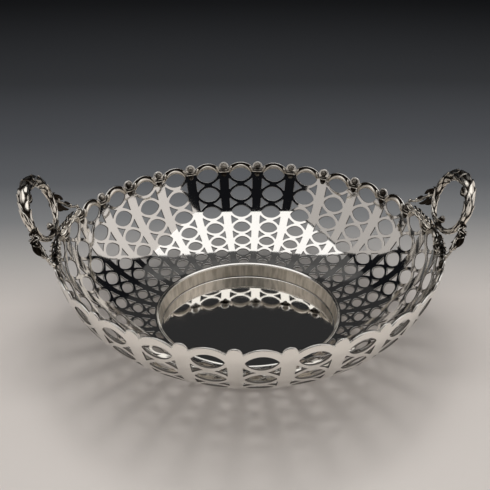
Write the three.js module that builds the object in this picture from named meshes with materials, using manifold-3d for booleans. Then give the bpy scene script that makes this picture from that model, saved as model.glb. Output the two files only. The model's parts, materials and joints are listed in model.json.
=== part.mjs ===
// A pierced silver bowl with a wreath ring handle at each end
// Millimetres, +Z up. The origin is on the table under the middle of the bowl, the handles lie along X
import * as THREE from 'three';
import { mergeVertices } from 'three/addons/utils/BufferGeometryUtils.js';
import Module from 'manifold-3d';

const wasm = await Module();
wasm.setup();

// Fit between pieces that are soldered together
const seatGap = 0.3;

// Bowl wall, a raised sheet pierced in bays
const baysPerSide = 14; // from the middle of one handle to the middle of the other
const bayCount = 2 * baysPerSide;
const rimRadius = 115; // circle through the middles of the rim's lobes
const rimHeight = 68;
const sheet = 1.2;
const rimSlope = THREE.MathUtils.degToRad(8.1); // from upright, where the wall leaves the rim
const rimFullness = 33;
const wellSlope = THREE.MathUtils.degToRad(9.7); // from level, where the wall meets the well
const wellFullness = 26;

// Piercing: seven rows of pointed oval holes, with paired three-cornered holes between the rows
const rowCount = 7;
const firstRow = 7.1; // down the wall from the lobes' circle to the points of the first row
const firstRise = 4.5; // from those points to the top of the hole
const rowTaper = 0.92; // each space between rows against the one above
const crossingHeight = 4.2; // metal between a hole and the one below it
const tipBand = 0.7; // metal between the point of a hole and the edge of its strap
const strapAtRim = 8;
const strapAtWell = 4.4;
const cutShare = 0.56; // height of a three-cornered hole against the space between rows
const crossingShare = 0.21; // width of the crossing between a pair against its bay
const lastRowMargin = 1.6; // from the middle of the last row to the foot of the wall
const lastRowFlat = 0.8; // of a last hole's width, cut off along the well
const footBand = 0.9; // metal left under the last row

// Scalloped top edge
const lobeWidth = 8;
const lobeFlat = 0.5; // of the lobe's width, along its top
const lobeRise = 2.1;
const crownRise = 1.8;
const notchDrop = 1.6;

// Well
const wellRadius = 58; // circle of the wire round the well
const wellEdgeHeight = 13.6;
const wellWire = 0.7; // radius of that wire
const wellWall = 1;
const wellFloorHeight = 3.9;
const wellFloor = 1;
const wellTaper = 1.2; // how much the well narrows down to its corner
const wellCorner = 1.4;

// Foot under the well
const footRadius = 52;
const footWidth = 2.4;

// Rim castings: a broad arch over each first hole, and on each strap a low domed knob with a pendant under it
const knobTop = 1.3; // radius of the small flat on top
const knobRise = 0.9; // of that flat above the lobes' circle
const knobShoulder = 1; // down from the circle to where the knob is full
const knobRadius = 3.4;
const knobDepth = 2.6;
const collarRadius = 4.6;
const collarDepth = 2.9;
const collarDrop = 5.2;
const collarHeight = 2.2;
const pendantRadius = 2.6;
const pendantDepth = 1.5;
const pendantDrop = 9.8;
const archInset = 0.4; // from the scalloped edge to the outer edge of the arch
const archDepth = 1.7; // depth along that outer edge
const archLip = 1; // depth along its inner edge, which follows the hole

// Handles: an oval cast wreath that stands on the crown of a bay and leans outward
const fingerWide = 20.5; // half the width of its hole, along the rim
const fingerTall = 13.1; // half the height of its hole
const wreathTop = 3.7; // half the thickness of the wreath at its top
const wreathBase = 1.7;
const wreathSwell = 1.6; // above 1 the thickness gathers towards the top
const wreathSet = 1.3; // how far outside the lobes' circle its foot stands
const wreathLean = THREE.MathUtils.degToRad(20.5);
const leafRows = 14;
const leafFlare = 0.16; // how far leaf tips stand off, against the half thickness
const leafOverlap = 0.2; // of a leaf's length, under the tips of the leaves before it
const sprayBays = 1.5; // bays from the middle of a handle to the end of its sprays
const sprayFrom = THREE.MathUtils.degToRad(75); // round the wreath from its foot
const sprayStem = 1.1; // radius
const sprayLeaf = 4.2; // half the width of the large leaf
const leafBays = 1.12; // bays from the middle of the handle to the middle of that leaf
const leafBelly = 6.5; // how far it swells outward from the circle of the lobes
const leafHeight = 9.5; // above that circle
const leafLength = 0.6; // as a share of the spray
const stemBays = 1.3; // bays from the middle of the handle to the bend of the stem
const stemBelly = 3; // how far that bend stands out from the circle
const stemHeight = 5; // and above it

// A bud inside the foot of each wreath
const budNeck = 1;
const budStalk = 0.8;
const budRadius = 2.1;
const budCup = 2.3; // height of its widest place
const budHeight = 5.2;

// Facets
const wellSteps = bayCount;
const castSides = 6;
const tallRows = 2; // rows of large holes, which take one more step in each arc
const facetRoom = 0.2; // how far the wall's flat facets stand inside its true curve

const bay = (2 * Math.PI) / bayCount;
const silver = new THREE.MeshStandardMaterial({ color: 0xc9c6c0, roughness: 0.14, metalness: 1 });
const castSilver = new THREE.MeshStandardMaterial({ color: 0xb3aca0, roughness: 0.28, metalness: 1 });

// The wall's meridian, from the lobes' circle down to the wire of the well
const wallFootRadius = wellRadius + wellWire + seatGap;
const rimPoint = new THREE.Vector2(rimRadius, rimHeight);
const footPoint = new THREE.Vector2(wallFootRadius, wellEdgeHeight);
const rimAim = new THREE.Vector2(-Math.sin(rimSlope), -Math.cos(rimSlope)).multiplyScalar(rimFullness);
const wellAim = new THREE.Vector2(Math.cos(wellSlope), Math.sin(wellSlope)).multiplyScalar(wellFullness);
const meridian = new THREE.CubicBezierCurve(
  rimPoint,
  rimPoint.clone().add(rimAim),
  footPoint.clone().add(wellAim),
  footPoint,
);
const wallLength = meridian.getLength();

// Where the wall is, drop mm down from that circle, and which way it runs; above it the wall runs straight on
function wallAt(drop) {
  const share = THREE.MathUtils.clamp(drop / wallLength, 0, 1);
  const point = meridian.getPointAt(share);
  const along = meridian.getTangentAt(share);
  point.addScaledVector(along, drop - share * wallLength);
  return { point, along };
}

// A point beside the wall: x mm round from the middle of the bay, drop mm down, depth mm in from mid-sheet
function onWall(x, drop, depth) {
  const { point, along } = wallAt(drop);
  const angle = x / point.x;
  const radius = point.x + along.y * depth;
  const height = point.y - along.x * depth;
  return new THREE.Vector3(radius * Math.cos(angle), radius * Math.sin(angle), height);
}

// Half the width of the metal-to-metal bay between two straps
function bayEdge(drop) {
  const strap = THREE.MathUtils.lerp(strapAtRim, strapAtWell, drop / wallLength);
  return (wallAt(drop).point.x * bay - strap) / 2;
}

// Drops of the rows: the spaces between them shrink evenly and fill the wall
function rowDrops() {
  let total = 0;
  for (let i = 0; i < rowCount - 1; i += 1) total += rowTaper ** i;
  const firstSpace = (wallLength - lastRowMargin - firstRow) / total;
  const drops = [firstRow];
  for (let i = 0; i < rowCount - 1; i += 1) drops.push(drops[i] + firstSpace * rowTaper ** i);
  return drops;
}

const rows = rowDrops();

// A point of the arc over a chord from -half to half that rises by rise, share being -1 and 1 at its ends
function arcPoint(half, rise, share) {
  const radius = (half * half + rise * rise) / (2 * rise);
  const turn = 2 * Math.atan2(rise, half) * share;
  return [radius * Math.sin(turn), radius * Math.cos(turn) - radius + rise];
}

// Points along that arc, ends left out
function arcPoints(half, rise, steps) {
  const points = [];
  for (let i = 1; i < steps; i += 1) points.push(arcPoint(half, rise, (2 * i) / steps - 1));
  return points;
}

// Half the width of a pointed hole, from tip to tip
const holeHalf = (row) => bayEdge(rows[row]) - tipBand;

// One pointed oval hole, as [x, drop] points; the last row is cut off along the well
function pointedHole(row) {
  const middle = rows[row];
  const half = holeHalf(row);
  const steps = row < tallRows ? 4 : 3;
  const upperRise = row > 0 ? (middle - rows[row - 1] - crossingHeight) / 2 : firstRise;
  const upper = arcPoints(half, upperRise, steps).map(([x, rise]) => [x, middle - rise]);
  if (row === rowCount - 1) {
    const cut = wallLength - footBand;
    const flat = half * lastRowFlat;
    return [[-half, middle], ...upper, [half, middle], [flat, cut], [-flat, cut]];
  }
  const lowerRise = (rows[row + 1] - middle - crossingHeight) / 2;
  const lower = arcPoints(half, lowerRise, steps).map(([x, rise]) => [-x, middle + rise]);
  return [[-half, middle], ...upper, [half, middle], ...lower];
}

// Corners of the right-hand three-cornered hole under a row: on the strap, at the crossing, on the strap
function sideCut(row) {
  const middle = (rows[row] + rows[row + 1]) / 2;
  const reach = (cutShare * (rows[row + 1] - rows[row])) / 2;
  const apex = (crossingShare * bay * wallAt(middle).point.x) / 2;
  return [
    [bayEdge(middle - reach), middle - reach],
    [apex, middle],
    [bayEdge(middle + reach), middle + reach],
  ];
}

const mirror = (points) => points.map(([x, drop]) => [-x, drop]).reverse();

// The scalloped edge over a bay runs in an arc from notch to notch
const halfBay = (rimRadius * bay) / 2;
const notch = [halfBay - lobeWidth / 2, notchDrop];
const scallopRise = crownRise + notchDrop;

// Flat regions that tile one bay and the strap beside it: each has an outline and perhaps a hole
function bayRegions() {
  const scallop = arcPoints(notch[0], scallopRise, 4).map(([x, rise]) => [x, notchDrop - rise]);
  const foot = [bayEdge(wallLength), wallLength];
  const cuts = [];
  for (let row = 0; row < rowCount - 1; row += 1) cuts.push(sideCut(row));
  const regions = [];
  for (let row = 0; row < rowCount; row += 1) {
    const right = [];
    if (row === 0) right.push(notch);
    else right.push(cuts[row - 1][1], cuts[row - 1][2]);
    if (row === rowCount - 1) right.push(foot);
    else right.push(cuts[row][0], cuts[row][1]);
    const top = row === 0 ? scallop : [];
    regions.push({ outline: [...mirror(right), ...top, ...right], hole: pointedHole(row) });
  }
  const edge = [notch, ...cuts.flatMap((cut) => [cut[0], cut[2]]), foot];
  const strap = (points) => points.map(([x, drop]) => [wallAt(drop).point.x * bay - x, drop]);
  const shoulder = (lobeWidth * lobeFlat) / 2;
  const lobe = [[halfBay - shoulder, -lobeRise], [halfBay + shoulder, -lobeRise]];
  for (let i = 0; i < edge.length - 1; i += 1) {
    const near = [edge[i], edge[i + 1]];
    const far = strap(near);
    const top = i === 0 ? lobe : [];
    regions.push({ outline: [near[1], near[0], ...top, far[0], far[1]], hole: null });
  }
  return regions;
}

// A closed body from a list of triangles given as triples of Vector3
function bodyOf(triangles) {
  const positions = [];
  for (const triangle of triangles) for (const corner of triangle) positions.push(...corner.toArray());
  const geometry = new THREE.BufferGeometry();
  geometry.setAttribute('position', new THREE.Float32BufferAttribute(positions, 3));
  return mergeVertices(geometry, 1e-4);
}

// Thickens one flat region: its inner face, its outer face, and the cut edges of its holes and free sides
function thicken(region, angle, isFree) {
  const toVectors = (points) => points.map(([x, drop]) => new THREE.Vector2(x, drop));
  const holes = region.hole ? [region.hole] : [];
  const loops = [region.outline, ...holes];
  const flat = loops.flat();
  const faces = THREE.ShapeUtils.triangulateShape(toVectors(region.outline), holes.map(toVectors));
  const turn = new THREE.Matrix4().makeRotationZ(angle);
  const inner = flat.map(([x, drop]) => onWall(x, drop, sheet / 2).applyMatrix4(turn));
  const outer = flat.map(([x, drop]) => onWall(x, drop, -sheet / 2).applyMatrix4(turn));
  const triangles = [];
  for (const [a, b, c] of faces) {
    const turnsLeft = signedArea([flat[a], flat[b], flat[c]]) > 0;
    const [p, q, r] = turnsLeft ? [a, b, c] : [a, c, b];
    triangles.push([inner[p], inner[q], inner[r]], [outer[p], outer[r], outer[q]]);
  }
  let start = 0;
  for (const loop of loops) {
    const isHole = loop === region.hole;
    const forward = signedArea(loop) > 0 === !isHole;
    for (let i = 0; i < loop.length; i += 1) {
      const j = (i + 1) % loop.length;
      if (isHole || isFree(loop[i], loop[j])) {
        const [p, q] = forward ? [start + i, start + j] : [start + j, start + i];
        triangles.push([inner[p], outer[p], outer[q]], [inner[p], outer[q], inner[q]]);
      }
    }
    start += loop.length;
  }
  return triangles;
}

function signedArea(points) {
  let area = 0;
  points.forEach(([x, y], i) => {
    const [nextX, nextY] = points[(i + 1) % points.length];
    area += (x * nextY - nextX * y) / 2;
  });
  return area;
}

// Names an edge by its middle, as a share of the bay and a drop, so that both regions beside it name it alike
function edgeKey(a, b) {
  const shareOf = ([x, drop]) => x / (wallAt(drop).point.x * bay);
  const share = (shareOf(a) + shareOf(b)) / 2 + bayCount + 0.5;
  const fine = 1e4;
  return `${Math.round((share % 1) * fine) % fine} ${(a[1] + b[1]).toFixed(3)}`;
}

function piercedWall() {
  const regions = bayRegions();
  const uses = new Map();
  for (const { outline } of regions) {
    outline.forEach((point, i) => {
      const key = edgeKey(point, outline[(i + 1) % outline.length]);
      uses.set(key, (uses.get(key) ?? 0) + 1);
    });
  }
  const isFree = (a, b) => uses.get(edgeKey(a, b)) === 1; // an edge of one region only
  const triangles = [];
  for (let i = 0; i < bayCount; i += 1) {
    for (const region of regions) triangles.push(...thicken(region, i * bay, isFree));
  }
  return bodyOf(triangles);
}

// A closed body through rings of points; a looped one joins its last ring to its first, others are capped
function loft(rings, looped = false) {
  const triangles = [];
  const spans = looped ? rings.length : rings.length - 1;
  for (let k = 0; k < spans; k += 1) {
    const low = rings[k];
    const high = rings[(k + 1) % rings.length];
    low.forEach((point, i) => {
      const j = (i + 1) % low.length;
      triangles.push([point, low[j], high[j]], [point, high[j], high[i]]);
    });
  }
  if (!looped) {
    const first = rings[0];
    const last = rings[rings.length - 1];
    for (let i = 1; i < first.length - 1; i += 1) {
      triangles.push([first[0], first[i + 1], first[i]], [last[0], last[i], last[i + 1]]);
    }
  }
  return bodyOf(triangles);
}

// Closed profile of [radius, height] points turned round the axis
function turned(profile, steps) {
  const points = profile.map(([radius, height]) => new THREE.Vector2(radius, height));
  if (profile[0][0] > 0) points.push(points[0].clone()); // a ring's profile closes on itself
  const geometry = new THREE.LatheGeometry(points, steps);
  geometry.rotateX(Math.PI / 2);
  geometry.deleteAttribute('normal');
  geometry.deleteAttribute('uv');
  return mergeVertices(geometry, 1e-4);
}

// A closed geometry as a solid, and back
function toSolid(geometry) {
  const vertProperties = new Float32Array(geometry.getAttribute('position').array);
  const triVerts = new Uint32Array(geometry.index.array);
  return new wasm.Manifold(new wasm.Mesh({ numProp: 3, vertProperties, triVerts }));
}

function toGeometry(solid) {
  const { vertProperties, triVerts } = solid.getMesh();
  const geometry = new THREE.BufferGeometry();
  geometry.setAttribute('position', new THREE.BufferAttribute(new Float32Array(vertProperties), 3));
  geometry.setIndex(new THREE.BufferAttribute(new Uint32Array(triVerts), 1));
  return geometry;
}

// Depth at which a casting lies against the inner face of the wall
const castingSeat = sheet / 2 + facetRoom + seatGap;

// A half-round section across the strap to the right of the bay
function halfRound(drop, halfWidth, depth) {
  const middle = (wallAt(drop).point.x * bay) / 2;
  return [0, 1, 2, 3].map((i) => {
    const turn = (Math.PI * i) / 3;
    return onWall(middle - halfWidth * Math.cos(turn), drop, castingSeat + depth * Math.sin(turn));
  });
}

// The knob with its collar and pendant
function knob() {
  return loft([
    halfRound(-knobRise, knobTop, knobTop),
    halfRound(knobShoulder, knobRadius, knobDepth),
    halfRound(collarDrop - collarHeight, knobRadius, knobDepth),
    halfRound(collarDrop, collarRadius, collarDepth),
    halfRound(pendantDrop, pendantRadius, pendantDepth),
  ]);
}

// A section of the arch, from the scalloped edge to the edge of the first hole, moved aside and lifted
function archSection(share, aside, lift) {
  const [outerX, outerRise] = arcPoint(notch[0], scallopRise, share);
  const [innerX, innerRise] = arcPoint(holeHalf(0), firstRise, share);
  const seat = castingSeat + lift;
  const outer = (depth) => onWall(outerX + aside, notchDrop + archInset - outerRise, seat + depth);
  const inner = (depth) => onWall(innerX + aside, firstRow - innerRise, seat + depth);
  return [outer(0), outer(archDepth), inner(archLip), inner(0)];
}

// The arch runs clear of the collar before it and into the collar of its own knob
function arch() {
  const steps = 4;
  const collarMiddle = (wallAt(collarDrop).point.x * bay) / 2;
  const reach = (collarMiddle - collarRadius - seatGap) / notch[0];
  const rings = [archSection(reach, collarRadius / 2, archLip / 4)];
  for (let i = 0; i <= steps; i += 1) rings.push(archSection(reach * (1 - (2 * i) / steps), 0, 0));
  return loft(rings);
}

// One bay's length of cast border
function rimCasting() {
  return toGeometry(toSolid(knob()).add(toSolid(arch())));
}

// The well: a shallow pan whose wall stands up to the wire
function centreDish() {
  const under = wellFloorHeight - wellFloor;
  const top = wellEdgeHeight - wellWire - seatGap;
  const inside = wellRadius - wellWall / 2;
  const outside = wellRadius + wellWall / 2;
  return turned([
    [0, under],
    [outside - wellTaper - wellCorner, under],
    [outside - wellTaper, under + wellCorner],
    [outside, top],
    [inside, top],
    [inside - wellTaper, wellFloorHeight + wellCorner],
    [inside - wellTaper - wellCorner, wellFloorHeight],
    [0, wellFloorHeight],
  ], wellSteps);
}

// The wire that covers the joint of wall and well
function wellRing() {
  const sides = 4;
  const section = [];
  for (let i = 0; i < sides; i += 1) {
    const turn = (2 * Math.PI * i) / sides;
    section.push([wellRadius + wellWire * Math.cos(turn), wellEdgeHeight + wellWire * Math.sin(turn)]);
  }
  return turned(section, wellSteps);
}

function footRing() {
  const top = wellFloorHeight - wellFloor - seatGap;
  const half = footWidth / 2;
  return turned([
    [footRadius - half, 0],
    [footRadius + half, 0],
    [footRadius + half, top],
    [footRadius - half, top],
  ], wellSteps);
}

// The wreath stands on the crown of the bay at angle 0: its foot, its rising direction and its middle
const wreathFoot = new THREE.Vector3(rimRadius + wreathSet, 0, rimHeight + crownRise + seatGap + wreathBase);
const wreathRise = new THREE.Vector3(Math.sin(wreathLean), 0, Math.cos(wreathLean));
const wreathMiddle = wreathFoot.clone().addScaledVector(wreathRise, fingerTall + wreathBase);

// Half the wreath's thickness, turn being measured round from its foot
function wreathHalf(turn) {
  return THREE.MathUtils.lerp(wreathBase, wreathTop, ((1 - Math.cos(turn)) / 2) ** wreathSwell);
}

// The middle of the wreath's thickness there, and the direction outward from it
function wreathAt(turn) {
  const wide = fingerWide + wreathHalf(turn);
  const tall = fingerTall + wreathHalf(turn);
  const centre = wreathMiddle.clone().addScaledVector(wreathRise, -tall * Math.cos(turn));
  centre.y += wide * Math.sin(turn);
  const out = wreathRise.clone().multiplyScalar(-wide * Math.cos(turn));
  out.y += tall * Math.sin(turn);
  return { centre, out: out.normalize() };
}

// Points of a flattened ring round a centre, in the plane of two directions
function oval(centre, wide, halfWidth, thin, halfThickness) {
  const ring = [];
  for (let i = 0; i < castSides; i += 1) {
    const round = (2 * Math.PI * (i + 0.5)) / castSides;
    const point = centre.clone().addScaledVector(wide, halfWidth * Math.cos(round));
    ring.push(point.addScaledVector(thin, halfThickness * Math.sin(round)));
  }
  return ring;
}

function wreathSection(turn, half) {
  const { centre, out } = wreathAt(turn);
  const across = new THREE.Vector3().crossVectors(wreathRise, new THREE.Vector3(0, 1, 0));
  return oval(centre, out, half, across, half);
}

// Two branches of overlapping leaf cups rise from the foot and meet at the top
function wreath() {
  const perSide = leafRows / 2;
  const step = Math.PI / perSide;
  const branch = [];
  for (let i = 0; i < perSide; i += 1) {
    const neck = (i + leafOverlap) * step;
    const tip = (i + 1) * step;
    branch.push([neck, wreathHalf(neck) * (1 - leafFlare)], [tip, wreathHalf(tip)]);
  }
  const rising = branch.map(([turn, half]) => wreathSection(turn, half));
  const falling = branch.slice(0, -1).map(([turn, half]) => wreathSection(-turn, half)).reverse();
  return loft([wreathSection(0, wreathBase), ...rising, ...falling], true);
}

// A point over the rim: bays round from the middle of the handle, mm out from the lobes' circle and above it
function overRim(bays, out, rise) {
  const radius = rimRadius + out;
  return new THREE.Vector3(radius * Math.cos(bays * bay), radius * Math.sin(bays * bay), rimHeight + rise);
}

// A spray springs from the flank of the wreath, swells to a large leaf and ends as a stem on the second lobe
function leafSpray(side) {
  const steps = 8;
  const { centre: root, out } = wreathAt(sprayFrom);
  const flank = root.addScaledVector(out, wreathHalf(sprayFrom) + seatGap);
  const path = new THREE.CatmullRomCurve3([
    flank,
    flank.clone().addScaledVector(out, 2 * sprayStem),
    overRim(leafBays, leafBelly, leafHeight),
    overRim(stemBays, stemBelly, stemHeight),
    overRim(sprayBays, 0, lobeRise + seatGap + sprayStem),
  ]);
  const rings = [];
  for (let i = 0; i <= steps; i += 1) {
    const share = i / steps;
    const centre = path.getPointAt(share);
    const along = path.getTangentAt(share);
    const radial = new THREE.Vector3(centre.x, centre.y, 0).normalize();
    const wide = new THREE.Vector3().crossVectors(along, radial).normalize();
    const thin = new THREE.Vector3().crossVectors(along, wide);
    const swell = share < leafLength ? Math.sin((Math.PI * share) / leafLength) : 0;
    const halfWidth = THREE.MathUtils.lerp(sprayStem, sprayLeaf, swell);
    rings.push(oval(centre, wide, halfWidth, thin, sprayStem));
  }
  const spray = loft(rings);
  if (side < 0) mirrorAcross(spray);
  return spray;
}

// Mirrors a body in the plane of X and Z, keeping its faces outward
function mirrorAcross(geometry) {
  geometry.scale(1, -1, 1);
  const corners = geometry.index.array;
  for (let i = 0; i < corners.length; i += 3) {
    [corners[i], corners[i + 1]] = [corners[i + 1], corners[i]];
  }
}

// A bud that stands inside the foot of the wreath
function bud() {
  return turned([[0, 0], [budNeck, 0], [budNeck, budStalk], [budRadius, budCup], [0, budHeight]], castSides);
}

const bowl = new THREE.Group();

function addPiece(name, geometry, material, parent = bowl) {
  const shape = geometry.toNonIndexed();
  shape.computeVertexNormals();
  const piece = new THREE.Mesh(shape, material);
  piece.name = name;
  parent.add(piece);
  return piece;
}

addPiece('pierced_wall', piercedWall(), silver);
addPiece('centre_dish', centreDish(), silver);
addPiece('well_wire', wellRing(), silver);
addPiece('foot_ring', footRing(), silver);

const casting = rimCasting();
for (let i = 0; i < bayCount; i += 1) {
  const piece = addPiece(`rim_casting_${String(i + 1).padStart(2, '0')}`, casting, castSilver);
  piece.rotation.z = i * bay;
}

for (const [end, turn] of [['right', 0], ['left', Math.PI]]) {
  const handle = new THREE.Group();
  handle.rotation.z = turn;
  addPiece(`wreath_handle_${end}`, wreath(), castSilver, handle);
  const finial = addPiece(`handle_bud_${end}`, bud(), castSilver, handle);
  finial.position.copy(wreathFoot).addScaledVector(wreathRise, wreathBase + seatGap);
  finial.rotation.y = wreathLean;
  const sides = end === 'right' ? ['back', 'front'] : ['front', 'back'];
  addPiece(`leaf_spray_${end}_${sides[0]}`, leafSpray(1), castSilver, handle);
  addPiece(`leaf_spray_${end}_${sides[1]}`, leafSpray(-1), castSilver, handle);
  bowl.add(handle);
}

export default bowl;
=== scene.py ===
# The looks of a pierced silver bowl with wreath ring handles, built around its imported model
# Metres and +Z up in Blender; the sizes in the dictionaries are millimetres, and mm turns them into metres
import json
import math
import bpy
import numpy as np
from mathutils import Matrix, Vector
from mathutils.geometry import delaunay_2d_cdt

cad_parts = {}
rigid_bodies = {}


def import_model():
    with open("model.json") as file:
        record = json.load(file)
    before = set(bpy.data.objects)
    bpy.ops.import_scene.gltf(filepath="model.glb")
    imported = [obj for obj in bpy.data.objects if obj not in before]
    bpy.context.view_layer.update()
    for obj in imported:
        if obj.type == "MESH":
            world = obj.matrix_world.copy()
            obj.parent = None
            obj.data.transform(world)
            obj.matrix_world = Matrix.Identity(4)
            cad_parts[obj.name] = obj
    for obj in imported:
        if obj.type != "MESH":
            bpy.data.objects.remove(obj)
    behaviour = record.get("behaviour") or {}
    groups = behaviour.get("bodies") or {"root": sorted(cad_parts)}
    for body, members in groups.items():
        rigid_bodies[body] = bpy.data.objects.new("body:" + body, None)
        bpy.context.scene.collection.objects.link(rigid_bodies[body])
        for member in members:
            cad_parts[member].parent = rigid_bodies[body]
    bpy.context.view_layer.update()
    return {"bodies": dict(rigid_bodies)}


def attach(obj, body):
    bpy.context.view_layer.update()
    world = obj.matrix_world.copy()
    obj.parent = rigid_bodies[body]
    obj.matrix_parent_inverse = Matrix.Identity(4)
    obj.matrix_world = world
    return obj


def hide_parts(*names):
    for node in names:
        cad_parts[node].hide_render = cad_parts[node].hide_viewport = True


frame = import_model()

mm = 0.001
tau = 2 * math.pi
body = next(iter(frame["bodies"]))  # nothing moves, so every piece rides on this one

bowl = {
    "bays": 28,
    "rimRadius": 115,  # circle through the lobes of the top edge
    "rimHeight": 68,  # of that circle
    "sheet": 1.2,
    "rimSlope": 8.1,  # degrees from upright
    "rimFullness": 33,
    "wellSlope": 9.7,  # degrees from level
    "wellFullness": 26,
    "footRadius": 59.0,  # where the wall ends at the wire of the well
    "footHeight": 13.6,
}
bay = tau / bowl["bays"]


# Lengths along a line of points from its start
def lengthsAlong(line):
    return np.concatenate([[0], np.cumsum(np.linalg.norm(np.diff(line, axis=0), axis=1))])


# The wall's meridian as a table of places and directions by distance down from the lobes' circle
def meridianTable(steps=4000):
    rimSlope = math.radians(bowl["rimSlope"])
    wellSlope = math.radians(bowl["wellSlope"])
    rim = np.array([bowl["rimRadius"], bowl["rimHeight"]])
    foot = np.array([bowl["footRadius"], bowl["footHeight"]])
    rimAim = rim - bowl["rimFullness"] * np.array([math.sin(rimSlope), math.cos(rimSlope)])
    wellAim = foot + bowl["wellFullness"] * np.array([math.cos(wellSlope), math.sin(wellSlope)])
    t = np.linspace(0, 1, steps)[:, None]
    s = 1 - t
    places = s**3 * rim + 3 * s**2 * t * rimAim + 3 * s * t**2 * wellAim + t**3 * foot
    ways = s**2 * (rimAim - rim) + 2 * s * t * (wellAim - rimAim) + t**2 * (foot - wellAim)
    ways /= np.linalg.norm(ways, axis=1)[:, None]
    return lengthsAlong(places), places, ways


drops, places, ways = meridianTable()
wallLength = drops[-1]


# Radius, height and direction of the wall at distances down; past its ends it runs on straight
def wallAt(drop):
    drop = np.asarray(drop, float)
    onSheet = np.clip(drop, 0, wallLength)
    radius, height, outward, upward = (
        np.interp(onSheet, drops, column) for column in (*places.T, *ways.T)
    )
    past = drop - onSheet
    return radius + outward * past, height + upward * past, outward, upward


# Half the width of a bay, to the middle of the strap
def halfBayAt(drop):
    return float(wallAt(drop)[0]) * bay / 2


# Points beside the wall: across from the middle of the bay, drop down it, depth in from mid-sheet
def onWall(across, drop, depth, turn=0.0):
    radius, height, outward, upward = wallAt(drop)
    angle = across / radius + turn
    reach = radius + upward * depth
    return np.stack([reach * np.cos(angle), reach * np.sin(angle), height - outward * depth], axis=-1)


# The three directions of the wall at such points of the first bay: round, down and inward
def wallFrame(across, drop):
    radius, _, outward, upward = wallAt(drop)
    angle = across / radius
    cos, sin = np.cos(angle), np.sin(angle)
    around = np.stack([-sin, cos, 0 * cos], axis=-1)
    down = np.stack([outward * cos, outward * sin, upward], axis=-1)
    inward = np.stack([upward * cos, upward * sin, -outward], axis=-1)
    return around, down, inward


# The matrix that turns rows of points about the upright axis
def spinMatrix(angle):
    cos, sin = math.cos(angle), math.sin(angle)
    return np.array([[cos, sin, 0], [-sin, cos, 0], [0, 0, 1]])


# Turns over each face that doesn't look the way the normals at its corners do
def facing(points, faces, normals):
    turned = []
    for face in faces:
        a, b, c = points[face[0]], points[face[1]], points[face[2]]
        aim = normals[face[0]] + normals[face[1]] + normals[face[2]]
        turned.append(face if np.dot(np.cross(b - a, c - a), aim) > 0 else face[::-1])
    return turned


def linked(name, data):
    made = bpy.data.objects.new(name, data)
    bpy.context.scene.collection.objects.link(made)
    return made


# Shells of one piece, gathered and made into one mesh
class Shells:
    def __init__(self):
        self.points, self.faces, self.hollows, self.count = [], [], [], 0

    def add(self, points, faces, hollow=0.0):
        points = np.asarray(points, float).reshape(-1, 3)
        self.points.append(points)
        self.hollows.append(np.broadcast_to(np.asarray(hollow, float).ravel(), (len(points),)))
        self.faces.extend(tuple(self.count + i for i in face) for face in faces)
        self.count += len(points)

    def spin(self, angle):
        self.points = [points @ spinMatrix(angle) for points in self.points]

    def mirror(self):
        self.points = [points * (1, -1, 1) for points in self.points]
        self.faces = [face[::-1] for face in self.faces]

    # crease is the angle in degrees from which an edge shows sharp
    def piece(self, name, material, slot, *nodes, normals=None, crease=38):
        mesh = bpy.data.meshes.new(name)
        points = np.concatenate(self.points)
        mesh.from_pydata((points * mm).tolist(), [], self.faces)
        mesh.validate()
        mesh.shade_smooth()
        if normals is None:
            mesh.set_sharp_from_angle(angle=math.radians(crease))
        else:
            mesh.normals_split_custom_set_from_vertices(normals.tolist())
        hollow = mesh.attributes.new("hollow", "FLOAT", "POINT")
        hollow.data.foreach_set("value", np.concatenate(self.hollows).astype(np.float32))
        mesh.materials.append(material)
        made = linked(name, mesh)
        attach(made, body)
        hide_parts(*nodes)


# Faces between rings of points, laid out row by row; rings may close on themselves, and so may their line
def ringFaces(rows, columns, closedRows=False, closedColumns=True):
    faces = []
    for row in range(rows if closedRows else rows - 1):
        here, there = row * columns, (row + 1) % rows * columns
        for column in range(columns if closedColumns else columns - 1):
            beside = (column + 1) % columns
            faces.append((here + column, here + beside, there + beside, there + column))
    return faces


# A closed body through rings, shape (rows, columns, 3), with a cap on each end
def loft(shells, rings, hollow=0.0):
    rings = np.asarray(rings, float)
    rows, columns = rings.shape[:2]
    faces = ringFaces(rows, columns)
    faces.append(tuple(range(columns))[::-1])
    faces.append(tuple(range((rows - 1) * columns, rows * columns)))
    shells.add(rings, outwardFaces(rings.reshape(-1, 3), faces), hollow)


# Turns all the faces of a closed body over if its volume comes out negative
def outwardFaces(points, faces):
    volume = 0.0
    for face in faces:
        for i in range(1, len(face) - 1):
            volume += np.dot(points[face[0]], np.cross(points[face[i]], points[face[i + 1]]))
    return faces if volume > 0 else [face[::-1] for face in faces]


# A thin closed body between two grids of points of the same shape, dark underneath as tarnish and painted
# shade
def plate(shells, top, bottom, hollow=0.0):
    rows, columns = top.shape[:2]
    count = rows * columns
    faces = ringFaces(rows, columns, closedColumns=False)
    faces += [tuple(count + i for i in face[::-1]) for face in faces]
    edge = list(range(columns))
    edge += [row * columns + columns - 1 for row in range(1, rows)]
    edge += [(rows - 1) * columns + column for column in range(columns - 2, -1, -1)]
    edge += [row * columns for row in range(rows - 2, 0, -1)]
    for i, j in zip(edge, edge[1:] + edge[:1]):
        faces.append((i, count + i, count + j, j))
    points = np.concatenate([top.reshape(-1, 3), bottom.reshape(-1, 3)])
    hollow = np.broadcast_to(hollow, top.shape[:2]).ravel()
    # the underside is fully dark: painted shade and tarnish
    shells.add(points, outwardFaces(points, faces), np.concatenate([hollow, np.ones(count)]))


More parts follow.
